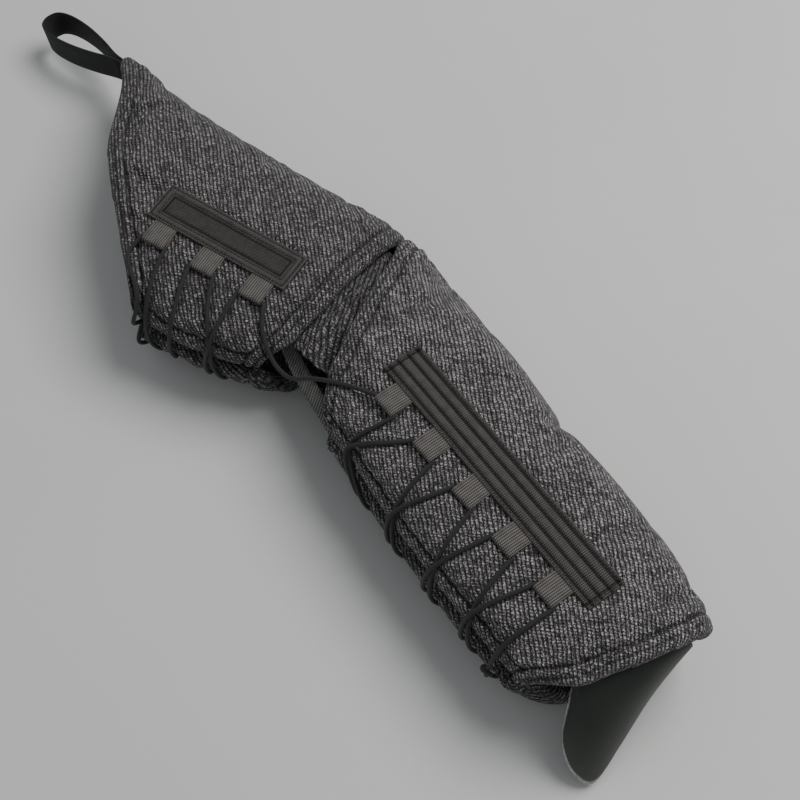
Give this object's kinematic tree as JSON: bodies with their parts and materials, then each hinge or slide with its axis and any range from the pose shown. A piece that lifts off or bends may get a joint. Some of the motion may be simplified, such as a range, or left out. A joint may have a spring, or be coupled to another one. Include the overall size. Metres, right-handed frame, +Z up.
{
  "type": "laced forearm and upper arm guard",
  "caption": "Padded arm guard with forearm and upper-arm sections, elastic lacing through webbing loops, an elbow gusset, a hang loop and a leather hand guard.",
  "frame": {"origin": "under the middle of the guard's bounding box, on the plane that it rests on", "axes": "+X along the forearm from the elbow to the wrist, +Y from the laced side to the spine, +Z up with the guard lying on its side"},
  "size_m": [0.7978, 0.2158, 0.107],
  "materials": {
    "woven_cover": "coarse black and grey woven cloth",
    "band_webbing": "matte ribbed webbing",
    "loop_webbing": "ribbed webbing, greyer than the bands",
    "strap_webbing": "smooth black webbing",
    "thread": "heavy sewing thread",
    "elastic_lace": "braided elastic cord",
    "gusset_cloth": "plain black cloth",
    "lining_cloth": "smooth lining",
    "padding_foam": "felted padding",
    "shell_plastic": "stiff sheet",
    "guard_leather": "smooth black leather",
    "guard_foam": "pale foam",
    "grip_metal": "black plate",
    "grip_wood": "turned bar"
  },
  "bodies": {
    "forearm": {"elbow_gusset": "gusset_cloth", "elbow_inner_strap": "loop_webbing", "elbow_lace_span": "elastic_lace", "forearm_band_bottom": "band_webbing", "forearm_band_stitching_bottom": "thread", "forearm_band_stitching_top": "thread", "forearm_band_top": "band_webbing", "forearm_cover": "woven_cover", "forearm_edge_binding": "woven_cover", "forearm_lace": "elastic_lace", "forearm_lace_loop_bottom_1": "loop_webbing", "forearm_lace_loop_bottom_2": "loop_webbing", "forearm_lace_loop_bottom_3": "loop_webbing", "forearm_lace_loop_bottom_4": "loop_webbing", "forearm_lace_loop_bottom_5": "loop_webbing", "forearm_lace_loop_top_1": "loop_webbing", "forearm_lace_loop_top_2": "loop_webbing", "forearm_lace_loop_top_3": "loop_webbing", "forearm_lace_loop_top_4": "loop_webbing", "forearm_lace_loop_top_5": "loop_webbing", "forearm_lining": "lining_cloth", "forearm_padding": "padding_foam", "forearm_shell": "shell_plastic", "grip_bar": "grip_wood", "grip_plates": "grip_metal", "grip_rivets": "grip_metal", "grip_sleeve": "guard_leather", "lace_end_knot": "elastic_lace"},
    "hand_guard": {"hand_guard_foam": "guard_foam", "hand_guard_inner": "guard_leather", "hand_guard_outer": "guard_leather"},
    "hang_loop": {"hang_loop_strap": "strap_webbing", "hang_loop_tack": "thread"},
    "upper_arm": {"upper_band_bottom": "band_webbing", "upper_band_stitching_bottom": "thread", "upper_band_stitching_top": "thread", "upper_band_top": "band_webbing", "upper_cover": "woven_cover", "upper_edge_binding": "woven_cover", "upper_lace": "elastic_lace", "upper_lace_loop_bottom_1": "loop_webbing", "upper_lace_loop_bottom_2": "loop_webbing", "upper_lace_loop_bottom_3": "loop_webbing", "upper_lace_loop_top_1": "loop_webbing", "upper_lace_loop_top_2": "loop_webbing", "upper_lace_loop_top_3": "loop_webbing", "upper_lining": "lining_cloth", "upper_padding": "padding_foam", "upper_stiffener": "shell_plastic"}
  },
  "joints": [
    {"name": "elbow", "type": "hinge", "parent": "forearm", "child": "upper_arm", "pos_m": [-0.01029, 0.10748, 0.0535], "axis": [0, 0, 1], "range_deg": [-20, 13], "stiffness_Nm_per_rad": 0.5, "deforming": ["elbow_gusset", "elbow_lace_span", "elbow_inner_strap"]},
    {"name": "hang_loop_swing", "type": "hinge", "parent": "upper_arm", "child": "hang_loop", "pos_m": [-0.30145, 0.02531, 0.0445], "axis": [0, 0, 1], "range_deg": [-45, 60]},
    {"name": "hand_guard_flex", "type": "hinge", "parent": "forearm", "child": "hand_guard", "pos_m": [0.36471, 0.01548, 0.0785], "axis": [-0.3283, -0.9392, -0.1011], "range_deg": [-8, 20], "stiffness_Nm_per_rad": 0.3}
  ]
}
